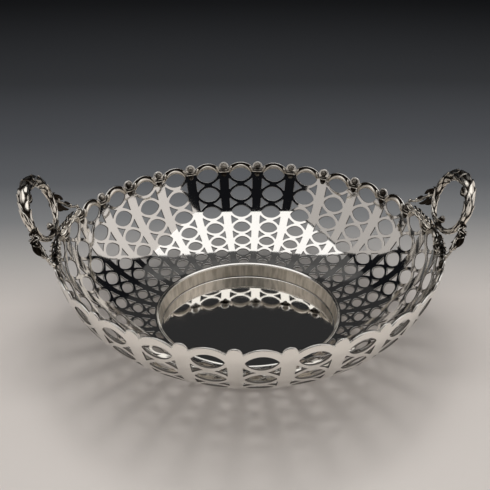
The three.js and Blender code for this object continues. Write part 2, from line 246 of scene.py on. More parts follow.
# A closed profile of (radius, height) turned round the upright axis
def turned(shells, profile, steps, hollow=0.0):
    profile = np.asarray(profile, float)
    angles = np.linspace(0, tau, steps, endpoint=False)
    rings = np.stack([
        np.outer(np.cos(angles), profile[:, 0]),
        np.outer(np.sin(angles), profile[:, 0]),
        np.tile(profile[:, 1], (steps, 1)),
    ], axis=-1)
    rows, columns = rings.shape[:2]
    faces = ringFaces(rows, columns, closedRows=True)
    points = rings.reshape(-1, 3)
    shells.add(points, outwardFaces(points, faces), np.tile(np.broadcast_to(hollow, (columns,)), rows))


print("helpers ready, body", body)


# Shader maths: a socket that expressions can use, and the material that makes its nodes
class Signal:
    def __init__(self, finish, socket):
        self.finish, self.socket = finish, socket

    def maths(self, operation, first, second):
        return self.finish.node("Math", {"operation": operation}, {0: first, 1: second})

    def __add__(self, other):
        return self.maths("ADD", self, other)

    def __sub__(self, other):
        return self.maths("SUBTRACT", self, other)

    def __rsub__(self, other):
        return self.maths("SUBTRACT", other, self)

    def __mul__(self, other):
        return self.maths("MULTIPLY", self, other)

    __radd__ = __add__
    __rmul__ = __mul__


class Finish:
    def __init__(self, name):
        self.material = bpy.data.materials.new(name)
        self.material.use_nodes = True
        self.tree = self.material.node_tree
        self.tree.nodes.clear()

    def node(self, kind, settings=None, inputs=None, output=0):
        made = self.tree.nodes.new("ShaderNode" + kind)
        settings = dict(settings or {})
        stops = settings.pop("stops", None)
        for name, value in settings.items():
            setattr(made, name, value)
        if stops:
            ramp = made.color_ramp.elements
            while len(ramp) < len(stops):
                ramp.new(0.5)
            for element, (place, shade) in zip(ramp, stops):
                element.position = place
                element.color = (*shade, 1)
        for name, value in (inputs or {}).items():
            if isinstance(value, Signal):
                self.tree.links.new(value.socket, made.inputs[name])
            else:
                made.inputs[name].default_value = value
        return Signal(self, made.outputs[output]) if made.outputs else None

    def place(self, stretch=(1, 1, 1)):
        here = self.node("TexCoord", output="Object")
        return self.node("Mapping", {}, {"Vector": here, "Scale": stretch})

    def noise(self, vector, size, detail=2.0, roughness=0.5):
        inputs = {"Vector": vector, "Scale": 1 / (size * mm), "Detail": detail, "Roughness": roughness}
        return self.node("TexNoise", {}, inputs)

    def mix(self, share, first, second):
        return self.node("Mix", {"data_type": "RGBA"}, {0: share, 6: first, 7: second}, output=2)

    def between(self, value, low, high):
        return self.node("MapRange", {"interpolation_type": "SMOOTHSTEP"}, {0: value, 1: low, 2: high})

    def bumped(self, height, depth, strength=1.0, **under):
        inputs = {"Height": height, "Distance": depth * mm, "Strength": strength, **under}
        return self.node("Bump", {}, inputs)

    def finished(self, inputs):
        shader = self.node("BsdfPrincipled", {}, inputs)
        self.node("OutputMaterial", {}, {"Surface": shader})
        return self.material


silver = {
    "bright": (0.88, 0.855, 0.81, 1),
    "worn": (0.86, 0.83, 0.79, 1),  # patches in the polish
    "rim": (0.86, 0.80, 0.71, 1),
    "handle": (0.93, 0.88, 0.79, 1),
    "dull": (0.78, 0.71, 0.62, 1),  # patches on the castings
    # brown-black for tarnish, and for painted shade in recesses, crevices, under leaves and in the well's
    # corner
    "tarnishAndShade": (0.032, 0.025, 0.019, 1),
    "sawn": (0.08, 0.065, 0.052, 1),  # brown left on the cut edges of the holes
    "sawnShare": 0.86,
    # painted reflections: streak colours that stand in for what the well's wall mirrors
    "wellReflectionStreaks": ((0.54, 0.49, 0.42, 1), (0.78, 0.72, 0.64, 1)),  # dark and light, on the well's wall
    "roughness": 0.04,
    "scratches": 0.03,  # how much duller hairline scratches are
    "wireRoughness": 0.12,
    "wireScratches": 0.05,
    "wellRoughness": 0.03,
    "wellWallRoughness": 0.36,
    "wear": 0.05,  # how much duller rubbed places are
    "patchWear": 0.4,  # share of that in the patches
    "edgeWear": 0.22,  # how much duller the rubbed top edge is
    "rimRoughness": 0.3,
    "rimGrime": 0.28,
    "handleRoughness": 0.14,
    "handleGrime": 0.3,
    "waver": 14,  # size of the hand-hammered unevenness of the sheet
    "waverDepth": 0.035,
    "wellWaver": 30,
    "wellWaverDepth": 0.03,
    "scratchDepth": 0.0012,
    "wellScratchDepth": 0.001,
    "castDepth": 0.05,  # of the grain of the castings
}


# Polished sheet: slight waver from the hammer, hairline scratches, patches and edges rubbed duller
def polishedSilver(name, stretch, roughness, scratches):
    f = Finish(name)
    here = f.place()
    rubbed = f.node("Attribute", {"attribute_name": "hollow"}, output="Fac")
    patches = f.between(f.noise(here, 23, 3), 0.35, 0.7)
    hairs = f.between(f.noise(f.place(stretch), 0.9, 3, 0.6), 0.52, 0.75)
    fine = f.noise(here, 0.35, 2)
    rough = roughness + silver["wear"] * patches * silver["patchWear"] + scratches * hairs + 0.02 * fine
    rough = rough + silver["edgeWear"] * rubbed
    waver = f.bumped(f.noise(here, silver["waver"], 1), silver["waverDepth"])
    normal = f.bumped(hairs, silver["scratchDepth"], Normal=waver)
    sawn = f.between(rubbed, 1.1, 2.2)  # from just over the rubbed top edge to just under sawnEdge
    shade = f.mix(patches * 0.25, silver["bright"], silver["worn"])
    shade = f.mix(sawn * silver["sawnShare"], shade, silver["sawn"])
    return f.finished({"Base Color": shade, "Metallic": 1.0, "Roughness": rough, "Normal": normal})


# The well: a mirror floor with fine scratches, a thin painted shade line in its corner, and a wall left brown
# and dull where the cloth doesn't reach, streaked light and dark with painted reflections
def wellSilver(name):
    f = Finish(name)
    here = f.place()
    height = f.node("SeparateXYZ", {}, {0: here}, output="Z")
    upright = f.between(height, 4.1 * mm, 5.0 * mm)  # from the floor up
    # a thin band in the corner between wall and floor, darkened toward tarnish as a painted shade line
    corner = f.between(height, 4.0 * mm, 4.3 * mm) * (1 - f.between(height, 4.5 * mm, 5.2 * mm))
    streaks = f.noise(f.place((1, 1, 0.06)), 3.5, 3, 0.6)
    scratches = f.between(f.noise(f.place((0.12, 1, 1)), 0.8, 3, 0.6), 0.55, 0.75)
    smears = f.between(f.noise(here, 18, 4, 0.6), 0.45, 0.75)
    floor = silver["wellRoughness"] + 0.05 * scratches + 0.04 * smears
    rough = floor + upright * (silver["wellWallRoughness"] + 0.25 * (streaks - 0.5))
    # the wall's colour streaked light and dark as a painted reflection
    wallPaintedReflection = f.mix(f.between(streaks, 0.38, 0.62), *silver["wellReflectionStreaks"])
    shade = f.mix(corner * 0.8, f.mix(upright, silver["bright"], wallPaintedReflection), silver["tarnishAndShade"])
    waver = f.bumped(f.noise(here, silver["wellWaver"], 1), silver["wellWaverDepth"])
    normal = f.bumped(scratches, silver["wellScratchDepth"], Normal=waver)
    return f.finished({"Base Color": shade, "Metallic": 1.0, "Roughness": rough, "Normal": normal})


# Cast and chased silver: bright where it is rubbed, brown-black in its hollows, partly tarnish and partly
# painted shade
def castSilver(name, tint, grime, roughness):
    f = Finish(name)
    here = f.place()
    hollow = f.node("Attribute", {"attribute_name": "hollow"}, output="Fac")
    speckle = f.noise(here, 1.1, 4, 0.6)
    patches = f.between(f.noise(here, 7, 3), 0.3, 0.75)
    # the hollow attribute carries tarnish together with painted shade in recesses, crevices and under leaves
    dark = f.between(hollow + 0.55 * (speckle - 0.5) + grime * patches, 0.28, 0.86)
    shade = f.mix(dark, f.mix(patches * 0.5, tint, silver["dull"]), silver["tarnishAndShade"])
    rough = roughness + 0.25 * dark + 0.05 * speckle
    normal = f.bumped(speckle, silver["castDepth"], 0.7)
    return f.finished({"Base Color": shade, "Metallic": 1.0, "Roughness": rough, "Normal": normal})


wallSilver = polishedSilver("wall silver", (1, 1, 0.15), silver["roughness"], silver["scratches"])
dishSilver = wellSilver("dish silver")
wireSilver = polishedSilver("wire silver", (1, 1, 1), silver["wireRoughness"], silver["wireScratches"])
rimSilver = castSilver("rim silver", silver["rim"], silver["rimGrime"], silver["rimRoughness"])
handleSilver = castSilver("handle silver", silver["handle"], silver["handleGrime"], silver["handleRoughness"])
print("finishes ready")

piercing = {
    "rows": 7,
    "firstRow": 7.1,  # down the wall from the lobes' circle to the points of the first row
    "firstRise": 4.5,  # from those points to the top of the hole
    "rowTaper": 0.92,
    "crossing": 4.2,  # metal between a hole and the one below it
    "tipBand": 0.7,
    "strapAtRim": 8.0,
    "strapAtWell": 4.4,
    "cutShare": 0.56,
    "crossingShare": 0.21,
    "cutBow": 0.35,  # how far the sides of a three-cornered hole bow in, along the ovals
    "lastRowMargin": 1.6,
    "lastRowFlat": 0.8,
    "footBand": 0.9,
    "lobeWidth": 8,
    "lobeRise": 2.1,
    "lobeSquareness": 2.4,
    "lobeShoulder": 0.7,
    "crownRise": 1.8,
    "notchDrop": 1.6,
    "bevel": 0.24,
    "sawnEdge": 2.4,  # how dull the cut edges are against the rubbed top edge
    "topRound": 0.57,  # radius of the rounded edge along the lobes and scallops
    "topTilts": (60, 30, 0, 0, -30, -60),  # degrees, over that edge from inside to outside
    "spacing": 0.78,  # between points along a cut edge
    "grain": 2.4,  # between points inside the metal
    "grainRow": 0.87,  # of that, between rows of them
}


# Half the width of a bay without its strap
def bayEdge(drop):
    strap = piercing["strapAtRim"] + (piercing["strapAtWell"] - piercing["strapAtRim"]) * drop / wallLength
    return (wallAt(drop)[0] * bay - strap) / 2


def rowDrops():
    taper = piercing["rowTaper"] ** np.arange(piercing["rows"] - 1)
    space = (wallLength - piercing["lastRowMargin"] - piercing["firstRow"]) / taper.sum()
    return piercing["firstRow"] + np.concatenate([[0], np.cumsum(space * taper)])


holeRows = rowDrops()


# Points of the arc over a chord from -half to half that rises by rise, share being -1 and 1 at its ends
def arcAt(half, rise, share):
    radius = (half * half + rise * rise) / (2 * rise)
    turns = 2 * math.atan2(rise, half) * share
    return np.stack([radius * np.sin(turns), radius * np.cos(turns) - radius + rise], -1)


def arc(half, rise, steps=24):
    return arcAt(half, rise, np.linspace(-1, 1, steps))


# A line of points set out anew at even spaces
def evenly(line, spacing, closed=True):
    if closed:
        line = np.vstack([line, line[:1]])
    lengths = lengthsAlong(line)
    count = max(3, round(lengths[-1] / spacing))
    at = np.linspace(0, lengths[-1], count + 1)
    points = np.column_stack([np.interp(at, lengths, line[:, k]) for k in (0, 1)])
    return points[:-1] if closed else points


def softened(loop, passes):
    for _ in range(passes):
        loop = (np.roll(loop, 1, axis=0) + 2 * loop + np.roll(loop, -1, axis=0)) / 4
    return loop


def holeHalf(row):
    return float(bayEdge(holeRows[row])) - piercing["tipBand"]


# A pointed oval hole, drawn finely, softened at its corners and set out anew
def pointedHole(row):
    middle, half = holeRows[row], holeHalf(row)
    upperRise = (middle - holeRows[row - 1] - piercing["crossing"]) / 2 if row else piercing["firstRise"]
    upper = arc(half, upperRise) * (1, -1) + (0, middle)
    if row == len(holeRows) - 1:
        cut = wallLength - piercing["footBand"]
        flat = half * piercing["lastRowFlat"]
        lower = np.array([[flat, cut], [-flat, cut]])
    else:
        lowerRise = (holeRows[row + 1] - middle - piercing["crossing"]) / 2
        lower = (arc(half, lowerRise) * (-1, 1) + (0, middle))[1:-1]
    fine = evenly(np.vstack([upper, lower]), 0.2)
    return evenly(softened(fine, 5), piercing["spacing"])


# A line from start to end that bows to its left by bow
def bowed(start, end, bow, steps=9):
    start, way = np.asarray(start), np.subtract(end, start)
    t = np.linspace(0, 1, steps)[:, None]
    side = np.array([-way[1], way[0]]) / np.linalg.norm(way)
    return (start + way * t + side * bow * 4 * t * (1 - t))[:-1]


# The three-cornered hole right of a crossing
def sideCut(row):
    middle = (holeRows[row] + holeRows[row + 1]) / 2
    reach = piercing["cutShare"] * (holeRows[row + 1] - holeRows[row]) / 2
    apex = (piercing["crossingShare"] * bay * float(wallAt(middle)[0]) / 2, middle)
    high = (float(bayEdge(middle - reach)), middle - reach)
    low = (float(bayEdge(middle + reach)), middle + reach)
    bow = piercing["cutBow"]
    line = np.vstack([bowed(apex, high, bow), bowed(high, low, 0), bowed(low, apex, bow)])
    fine = evenly(line, 0.15)
    return evenly(softened(fine, 2), piercing["spacing"])


# Left end of the top edge to its right end: half a lobe, the scallop and half the next lobe
def topEdge():
    middle = halfBayAt(0)
    halfLobe = piercing["lobeWidth"] / 2
    rise = piercing["lobeRise"] + piercing["notchDrop"]
    share = np.linspace(0, 1, 14)
    lobe = np.column_stack([
        -middle + halfLobe * share,
        piercing["notchDrop"] - rise * (1 - share ** piercing["lobeSquareness"]) ** piercing["lobeShoulder"],
    ])
    scallop = arc(middle - halfLobe, piercing["crownRise"] + piercing["notchDrop"])[1:-1]
    scallop = scallop * (1, -1) + (0, piercing["notchDrop"])
    return np.vstack([lobe, scallop, (lobe * (-1, 1))[::-1]])


# Which way the metal lies along a line of points, square to it
def metalSide(line, closed):
    if closed:
        along = np.roll(line, -1, axis=0) - np.roll(line, 1, axis=0)
    else:
        along = np.gradient(line, axis=0)
    side = np.column_stack([-along[:, 1], along[:, 0]])
    side /= np.linalg.norm(side, axis=1)[:, None]
    if closed:
        outward = np.sum(side * (line - line.mean(axis=0))) > 0
        return side if outward else -side
    return side


def bayHoles():
    holes = [pointedHole(row) for row in range(len(holeRows))]
    for row in range(len(holeRows) - 1):
        cut = sideCut(row)
        holes += [cut, (cut * (-1, 1))[::-1]]
    return holes


# The top edge of a bay at even spaces, and which way its metal lies
def bayTop():
    top = evenly(topEdge(), piercing["spacing"] * 0.8, closed=False)
    metal = metalSide(top, False)
    if metal[len(top) // 2, 1] < 0:
        metal = -metal
    metal[[0, -1]] = (0, 1)
    return top, metal


# The right side of a bay, in the middle of the strap, its foot and its left side
def baySides(top):
    sideDrops = np.linspace(top[0, 1], wallLength, 46)[1:]
    halfBay = wallAt(sideDrops)[0] * bay / 2
    right = np.column_stack([halfBay, sideDrops])
    footLine = np.linspace(halfBay[-1], -halfBay[-1], 19)[1:-1]
    return right, np.column_stack([footLine, np.full(len(footLine), wallLength)]), (right * (-1, 1))[::-1]


# Triangles of the metal inside the first loop and outside the others, as numbers of the flat points
def metalTriangles(flat, loops):
    found = delaunay_2d_cdt([Vector(point) for point in flat], [], loops, 2, 1e-5)
    first = [ids[0] for ids in found[3]]
    return [tuple(first[i] for i in face) for face in found[2]]


# Points and normals along a cut edge, one strip for each tilt from the inner face of the sheet to the outer
def edgeStrips(line, metal, radius, tilts):
    half = bowl["sheet"] / 2
    around, down, inward = wallFrame(*line.T)
    openWay = -(around * metal[:, :1] + down * metal[:, 1:])
    for k, tilt in enumerate(np.radians(tilts)):
        face = half - radius if k < len(tilts) / 2 else radius - half
        spot = line + metal * radius * (1 - math.cos(tilt))
        points = onWall(*spot.T, face + radius * math.sin(tilt))
        yield points, openWay * math.cos(tilt) + inward * math.sin(tilt)


# One bay of the wall, and the pairs of points where its left side is the right side of the bay before it
def bayMesh():
    holes, (top, topMetal) = bayHoles(), bayTop()
    right, footLine, left = baySides(top)
    bevel, topRound = piercing["bevel"], piercing["topRound"]
    outline = np.vstack([top + topMetal * topRound, right, footLine, left])
    grown = [hole + metalSide(hole, True) * bevel for hole in holes]
    flat = np.vstack([outline, *grown, innerPoints(outline, grown)])
    loops, start = [list(range(len(outline)))], len(outline)
    for hole in grown:
        loops.append(list(range(start, start + len(hole))))
        start += len(hole)
    triangles = metalTriangles(flat, loops)

    count, half = len(flat), bowl["sheet"] / 2
    inward = wallFrame(*flat.T)[2]
    points = [onWall(*flat.T, half), onWall(*flat.T, -half)]
    normals = [inward, -inward]
    rubbed = [(np.arange(count) < len(top)).astype(float)] * 2
    faces = triangles + [tuple(count + i for i in face) for face in triangles]
    pairs = [(0, len(top) - 1), (count, count + len(top) - 1)]
    edges = [(loops[0][:len(top)], top, topMetal, False, topRound, piercing["topTilts"])]
    for loop, hole in zip(loops[1:], holes):
        edges.append((loop, hole, metalSide(hole, True), True, bevel, (0, 0)))
    base = 2 * count
    for loop, line, metal, closed, radius, tilts in edges:
        size = len(line)
        strips = [np.array(loop)]
        for stripPoints, stripNormals in edgeStrips(line, metal, radius, tilts):
            points.append(stripPoints)
            normals.append(stripNormals)
            rubbed.append(np.full(size, piercing["sawnEdge"] if closed else 1.0))
            strips.append(base + np.arange(size))
            if not closed:
                pairs.append((base, base + size - 1))
            base += size
        strips.append(count + np.array(loop))
        for near, far in zip(strips, strips[1:]):
            for i in range(size if closed else size - 1):
                j = (i + 1) % size
                faces.append((near[i], near[j], far[j], far[i]))
    points, normals = np.concatenate(points), np.concatenate(normals)
    faces = facing(points, [tuple(int(i) for i in face) for face in faces], normals)
    leftIds = range(len(outline) - 1, len(outline) - len(right) - 1, -1)
    rightIds = range(len(top), len(top) + len(right))
    pairs += [(offset + a, offset + b) for offset in (0, count) for a, b in zip(leftIds, rightIds)]
    return points, normals, np.concatenate(rubbed), faces, pairs


# All the bays, joined where they meet
def piercedWall():
    points, normals, rubbed, faces, pairs = bayMesh()
    bays = bowl["bays"]
    ids = np.arange(bays)[:, None] * len(points) + np.arange(len(points))
    for leftId, rightId in pairs:
        ids[:, leftId] = np.roll(ids[:, rightId], 1)
    allPoints, allNormals, allFaces = [], [], []
    for i in range(bays):
        allPoints.append(points @ spinMatrix(i * bay))
        allNormals.append(normals @ spinMatrix(i * bay))
        allFaces.extend(tuple(ids[i, list(face)]) for face in faces)
    used = np.unique(np.array([i for face in allFaces for i in face]))
    newIds = np.zeros(bays * len(points), int)
    newIds[used] = np.arange(len(used))
    allFaces = [tuple(int(i) for i in newIds[list(face)]) for face in allFaces]
    shells = Shells()
    shells.add(np.concatenate(allPoints)[used], allFaces, np.tile(rubbed, bays)[used])
    return shells, np.concatenate(allNormals)[used]


# Points spread through the metal of a bay, clear of its edges and holes
def innerPoints(outline, holes):
    grain, space = piercing["grain"], piercing["grain"] * piercing["grainRow"]
    spots = []
    for row, drop in enumerate(np.arange(outline[:, 1].min(), wallLength, space)):
        halfBay = halfBayAt(drop)
        count = max(2, round(2 * halfBay / grain))
        shift = 0.5 if row % 2 else 0.0
        spots += [(-halfBay + 2 * halfBay * (i + shift) / count, drop) for i in range(count + 1)]
    spots = np.array(spots)
    keep = inLoop(spots, outline)
    for hole in holes:
        keep &= ~inLoop(spots, hole)
    edges = np.vstack([outline, *holes])
    near = np.linalg.norm(spots[:, None] - edges[None], axis=2).min(axis=1)
    return spots[keep & (near > 0.45 * space)]


def inLoop(spots, loop):
    x, y = spots.T
    within = np.zeros(len(spots), bool)
    for (ax, ay), (bx, by) in zip(loop, np.roll(loop, -1, axis=0)):
        if ay != by:
            within ^= ((ay > y) != (by > y)) & (x < (bx - ax) * (y - ay) / (by - ay) + ax)
    return within


wallShells, wallNormals = piercedWall()
wallShells.piece("piercedWall", wallSilver, "wall_silver", "pierced_wall", normals=wallNormals)
print("pierced wall:", sum(len(face) - 2 for face in wallShells.faces), "triangles")

casting = {
    "inset": 0.25,  # from the scalloped edge to the groove
    "groove": 0.3,  # height of the metal in the groove
    "band": 2.9,  # width of the broad rounded band at the crown
    "endBand": 1.25,
    "bandHeight": 1.7,
    "reach": 0.95,  # of the scallop
    "dome": 2.4,  # half the width of the dome on each knob
    "domeHeight": 2.2,
    "domeDrop": 1.1,  # of its middle
    "domeLength": 2.1,
    "domeDark": 0.55,
    "collarAndPendant": [  # drop, half width, height and how deep in shadow and tarnish
        (3.3, 1.6, 0.9, 1.0),
        (3.6, 2.9, 1.5, 0.4),
        (3.95, 3.0, 1.6, 0.2),
        (4.25, 2.4, 1.1, 1.0),
        (4.65, 3.0, 1.3, 0.9),
        (4.95, 4.4, 2.2, 0.4),
        (5.2, 4.6, 2.5, 0.2),
        (5.5, 4.5, 2.4, 0.2),
        (5.75, 4.0, 1.6, 0.8),
        (5.95, 2.1, 0.8, 1.0),
        (6.8, 2.3, 1.0, 0.7),
        (8.2, 1.8, 0.9, 0.55),
        (9.1, 1.1, 0.7, 0.6),
        (9.4, 0.4, 0.2, 0.9),
    ],
    "scroll": 1.15,  # half the width of the leaf scrolls beside a knob
    "scrollLength": 2.1,  # in those halves, from the middle of a scroll to its end
    "scrollHeight": 1.35,
    "scrollReach": 4.7,
    "scrollLean": 0.45,
    "scrollDrop": 3.4,
    "seat": 0.57,  # from mid-sheet
}


# Profile across the arch from the scalloped edge to the hole: place across, height, and how deep in shadow
# and tarnish
def archProfile(width, share):
    groove = casting["groove"]
    band = casting["band"] + (casting["endBand"] - casting["band"]) * share**2
    height = casting["bandHeight"] * (1 - 0.3 * share**2)
    # darkest against the sheet and in the groove: painted shade and tarnish
    points = [(0, 0, 1), (0.05, groove, 0.9), (max(0.1, width - band - 0.1), groove, 1)]
    for angle in np.linspace(0.06, 0.94, 11) * math.pi:
        across = width - band / 2 - band / 2 * math.cos(angle)
        rise = groove + (height - groove) * math.sin(angle) ** 0.8
        points.append((across, rise, 0.55 * (1 - math.sin(angle)) ** 2))
    return np.array(points + [(width, 0, 0.3)])


def archRings(turn, steps=34):
    notch = halfBayAt(0) - piercing["lobeWidth"] / 2
    scallopRise = piercing["crownRise"] + piercing["notchDrop"]
    rings, hollows = [], []
    for share in np.linspace(-1, 1, steps) * casting["reach"]:
        outer = arcAt(notch, scallopRise, share) * (1, -1) + (0, piercing["notchDrop"] + casting["inset"])
        inner = arcAt(holeHalf(0), piercing["firstRise"], share) * (1, -1) + (0, piercing["firstRow"])
        width = np.linalg.norm(inner - outer)
        across, height, hollow = archProfile(width, share).T
        spots = outer + (inner - outer) / width * across[:, None]
        rings.append(onWall(*spots.T, casting["seat"] + height, turn))
        hollows.append(hollow)
    return rings, hollows


# Sections of the knob on the strap: drop, half width, height and how deep in shadow and tarnish
def knobSections():
    sections = []
    for angle in np.radians(np.linspace(-90, 62, 11)):
        drop = casting["domeDrop"] + casting["domeLength"] * math.sin(angle)
        spread = max(math.cos(angle), 0.1)
        sections.append((drop, casting["dome"] * spread, casting["domeHeight"] * spread, casting["domeDark"]))
    return sections + casting["collarAndPendant"]


def knobRings(turn, steps=17):
    over = np.linspace(0, math.pi, steps)
    rings, hollows = [], []
    for drop, halfWidth, height, hollow in knobSections():
        across = halfBayAt(drop) - halfWidth * np.cos(over)
        rings.append(onWall(across, np.full(steps, drop), casting["seat"] + height * np.sin(over), turn))
        # darker toward the sheet at both sides: painted shade in the crevice, and tarnish
        hollows.append(np.clip(hollow + 0.6 * (1 - np.sin(over)) ** 3, 0, 1))
    return rings, hollows


# A small rounded scroll beside the knob, leaning along the end of the arch
def scrollRings(turn, side, steps=11):
    over = np.linspace(0, math.pi, steps)
    half, middle = casting["scroll"], halfBayAt(casting["scrollDrop"])
    rings, hollows = [], []
    for angle in np.radians(np.linspace(-86, 86, 11)):
        along = casting["scrollLength"] * half * math.sin(angle)
        line = middle + side * (casting["scrollReach"] - casting["scrollLean"] * along)
        across = line - half * math.cos(angle) * np.cos(over)
        height = casting["scrollHeight"] * half * math.cos(angle) * np.sin(over)
        rings.append(onWall(across, casting["scrollDrop"] + along + 0 * over, casting["seat"] + height, turn))
        # darker toward the sheet at both sides: painted shade in the crevice, and tarnish
        hollows.append(0.25 + 0.6 * (1 - np.sin(over)) ** 2)
    return rings, hollows


for i in range(bowl["bays"]):
    turn = i * bay
    shells = Shells()
    for rings, hollows in (archRings(turn), knobRings(turn), scrollRings(turn, 1), scrollRings(turn, -1)):
        loft(shells, rings, np.array(hollows))
    shells.piece(f"rimCasting.{i + 1:02d}", rimSilver, "rim_silver", f"rim_casting_{i + 1:02d}")
print("rim castings ready")

well = {
    "radius": 58.0,
    "edgeHeight": 13.6,
    "wire": 0.95,
    "floorHeight": 3.9,
    "thickness": 1.0,
    "taper": 1.2,
    "corner": 0.9,
    "footRadius": 52,
    "footWidth": 2.4,
    "steps": 224,
}


def filletPoints(centre, radius, start, end, steps=8):
    turns = np.radians(np.linspace(start, end, steps))
    return [(centre[0] + radius * math.cos(t), centre[1] + radius * math.sin(t)) for t in turns]


def turnedPiece(profile):
    shells = Shells()
    turned(shells, profile, well["steps"])
    return shells


def centreDish():
    inside = well["radius"] - well["thickness"] / 2
    corner, floor = well["corner"], well["floorHeight"]
    top = well["edgeHeight"] - 0.3
    innerFoot = inside - well["taper"]
    outerFoot = innerFoot + well["thickness"]
    under = floor - well["thickness"]
    floorRadii = [0.02, 8, 20, 33, 45, innerFoot - corner - 1]
    profile = [(radius, under) for radius in floorRadii]
    profile += filletPoints((outerFoot - corner, under + corner), corner, -80, 0)
    profile += [(inside + well["thickness"], top), (inside, top)]
    profile += filletPoints((innerFoot - corner, floor + corner), corner, 0, -80)
    profile += [(radius, floor) for radius in floorRadii[::-1]]
    return turnedPiece(profile)


# A round wire, its inner shoulder worn flat between 88 and 152 degrees
def wellWire():
    middle, radius = (well["radius"], well["edgeHeight"]), well["wire"]
    start, end = filletPoints(middle, radius, 88, 152, 2)
    flat = [tuple(a + (b - a) * share for a, b in zip(start, end)) for share in (0.12, 0.88)]
    profile = filletPoints(middle, radius, -60, 88) + flat + filletPoints(middle, radius, 152, 280, 7)
    return turnedPiece(profile)


def footRing():
    middle, half = well["footRadius"], well["footWidth"] / 2
    inner, outer, top = middle - half, middle + half, well["floorHeight"] - well["thickness"]
    profile = [(inner, 0), (outer - 0.3, 0), (outer, 0.3), (outer, 0.8), (outer - 0.5, 1.2)]
    return turnedPiece(profile + [(outer - 0.7, top - 0.5), (outer - 0.2, top), (inner, top)])


centreDish().piece("centreDish", dishSilver, "dish_silver", "centre_dish", crease=60)
wellWire().piece("wellWire", wireSilver, "wall_silver", "well_wire")
footRing().piece("footRing", wallSilver, "wall_silver", "foot_ring")
print("well ready")

wreath = {
    "wide": 20.0,  # half the width of its hole
    "tall": 13.7,  # half the height of its hole
    "top": 3.9,  # half the thickness there
    "base": 1.8,
    "swell": 1.45,
    "set": 1.3,  # outward from the lobes' circle
    "lean": 20.5,  # degrees
    "gap": 0.3,
    "core": 0.74,  # of the half thickness
    "steps": (120, 14),  # round the ring and round the branch
    "rows": 11,  # of leaves up each branch
    "leavesRound": 4,
    "leafLength": 9.2,
    "leafWidth": 1.3,  # half, in radians round the branch
    "lift": 0.13,  # of the tips, against the half thickness
    "seed": 7,
    "bands": ((0.0, 0.10, 1.12), (math.pi, 0.05, 1.0)),  # turn round the ring, half length and reach
    "knotFromTop": 0.38,  # radians round the ring
    "knotSink": 0.85,
    "knotTips": (2.2, 0.6),  # how far inward its two leaves reach
}
wreathRise = np.array([math.sin(math.radians(wreath["lean"])), 0, math.cos(math.radians(wreath["lean"]))])
wreathAcross = np.cross(wreathRise, (0, 1, 0))
wreathBottom = bowl["rimHeight"] + piercing["crownRise"] + wreath["gap"]
wreathFoot = np.array([bowl["rimRadius"] + wreath["set"], 0, wreathBottom + wreath["base"]])
wreathMiddle = wreathFoot + wreathRise * (wreath["tall"] + wreath["base"])


def wreathHalf(turn):
    return wreath["base"] + (wreath["top"] - wreath["base"]) * ((1 - np.cos(turn)) / 2) ** wreath["swell"]


# Points on the branch: turn round the ring from its foot, then round the branch, reach in half thicknesses
def onWreath(turn, around, reach):
    turn, around, reach = np.broadcast_arrays(turn, around, reach)
    half = wreathHalf(turn)
    wide, tall = wreath["wide"] + half, wreath["tall"] + half
    along, up = np.sin(turn), -np.cos(turn)
    sideways = np.array([0.0, 1.0, 0.0])
    centre = wreathMiddle + (wide * along)[..., None] * sideways + (tall * up)[..., None] * wreathRise
    out = (tall * along)[..., None] * sideways + (wide * up)[..., None] * wreathRise
    out /= np.linalg.norm(out, axis=-1)[..., None]
    arm = half * reach
    return centre + out * (arm * np.cos(around))[..., None] + wreathAcross * (arm * np.sin(around))[..., None]


# Turns round the ring at given lengths along one branch from its foot
branchTurns = np.linspace(0, math.pi, 400)
branchLengths = lengthsAlong(onWreath(branchTurns, 0, 0))


def turnAt(length):
    return np.interp(length, branchLengths, branchTurns)


# One pointed leaf that lies along the branch with its tip standing off
def wreathLeaf(shells, start, length, around, side, lift, sway):
    s = np.linspace(0, 1, 12)[:, None]  # from root to tip
    q = np.linspace(-1, 1, 9)[None, :]  # from edge to edge
    width = wreath["leafWidth"] * (1 - s) ** 0.7 * (s + 0.10) ** 0.35
    across = around + sway * s + q * width
    rib = 0.09 * np.exp(-(q / 0.14) ** 2) * (1 - s)
    crown = 0.16 * (1 - q * q)
    height = 0.76 + lift * s**1.8 + crown + rib - 0.08 * (1 - s)
    turns = side * turnAt(start + length * s + 0 * q)
    top = onWreath(turns, across, height)
    bottom = onWreath(turns, across, height - 0.16 - 0.05 * (1 - q * q))
    # dark at the root, tucked under the leaf before, and at the edges: painted shade and tarnish
    hollow = np.clip(1.0 - 2.6 * s, 0, 1) * 0.9 + 0.75 * np.abs(q) ** 3 + 0 * s
    plate(shells, top, bottom, hollow)


# A knot of two curled leaves that hangs inside the ring near its top, toward the front
def wreathKnot(shells, side):
    turn, sink = side * (math.pi - wreath["knotFromTop"]), wreath["knotSink"]
    inner = onWreath(turn, math.pi, sink)
    way = onWreath(turn - side * 0.25, math.pi, sink) - inner
    down = way / np.linalg.norm(way)
    inward = wreathMiddle - inner
    inward /= np.linalg.norm(inward)
    for outward, tip in zip((inward, inward * 0.4 + wreathAcross), wreath["knotTips"]):
        curledLeaf(shells, inner - down * 3.2, inner + down * 3.4 + inward * tip, outward, 1.7, 1.9, 1.3)


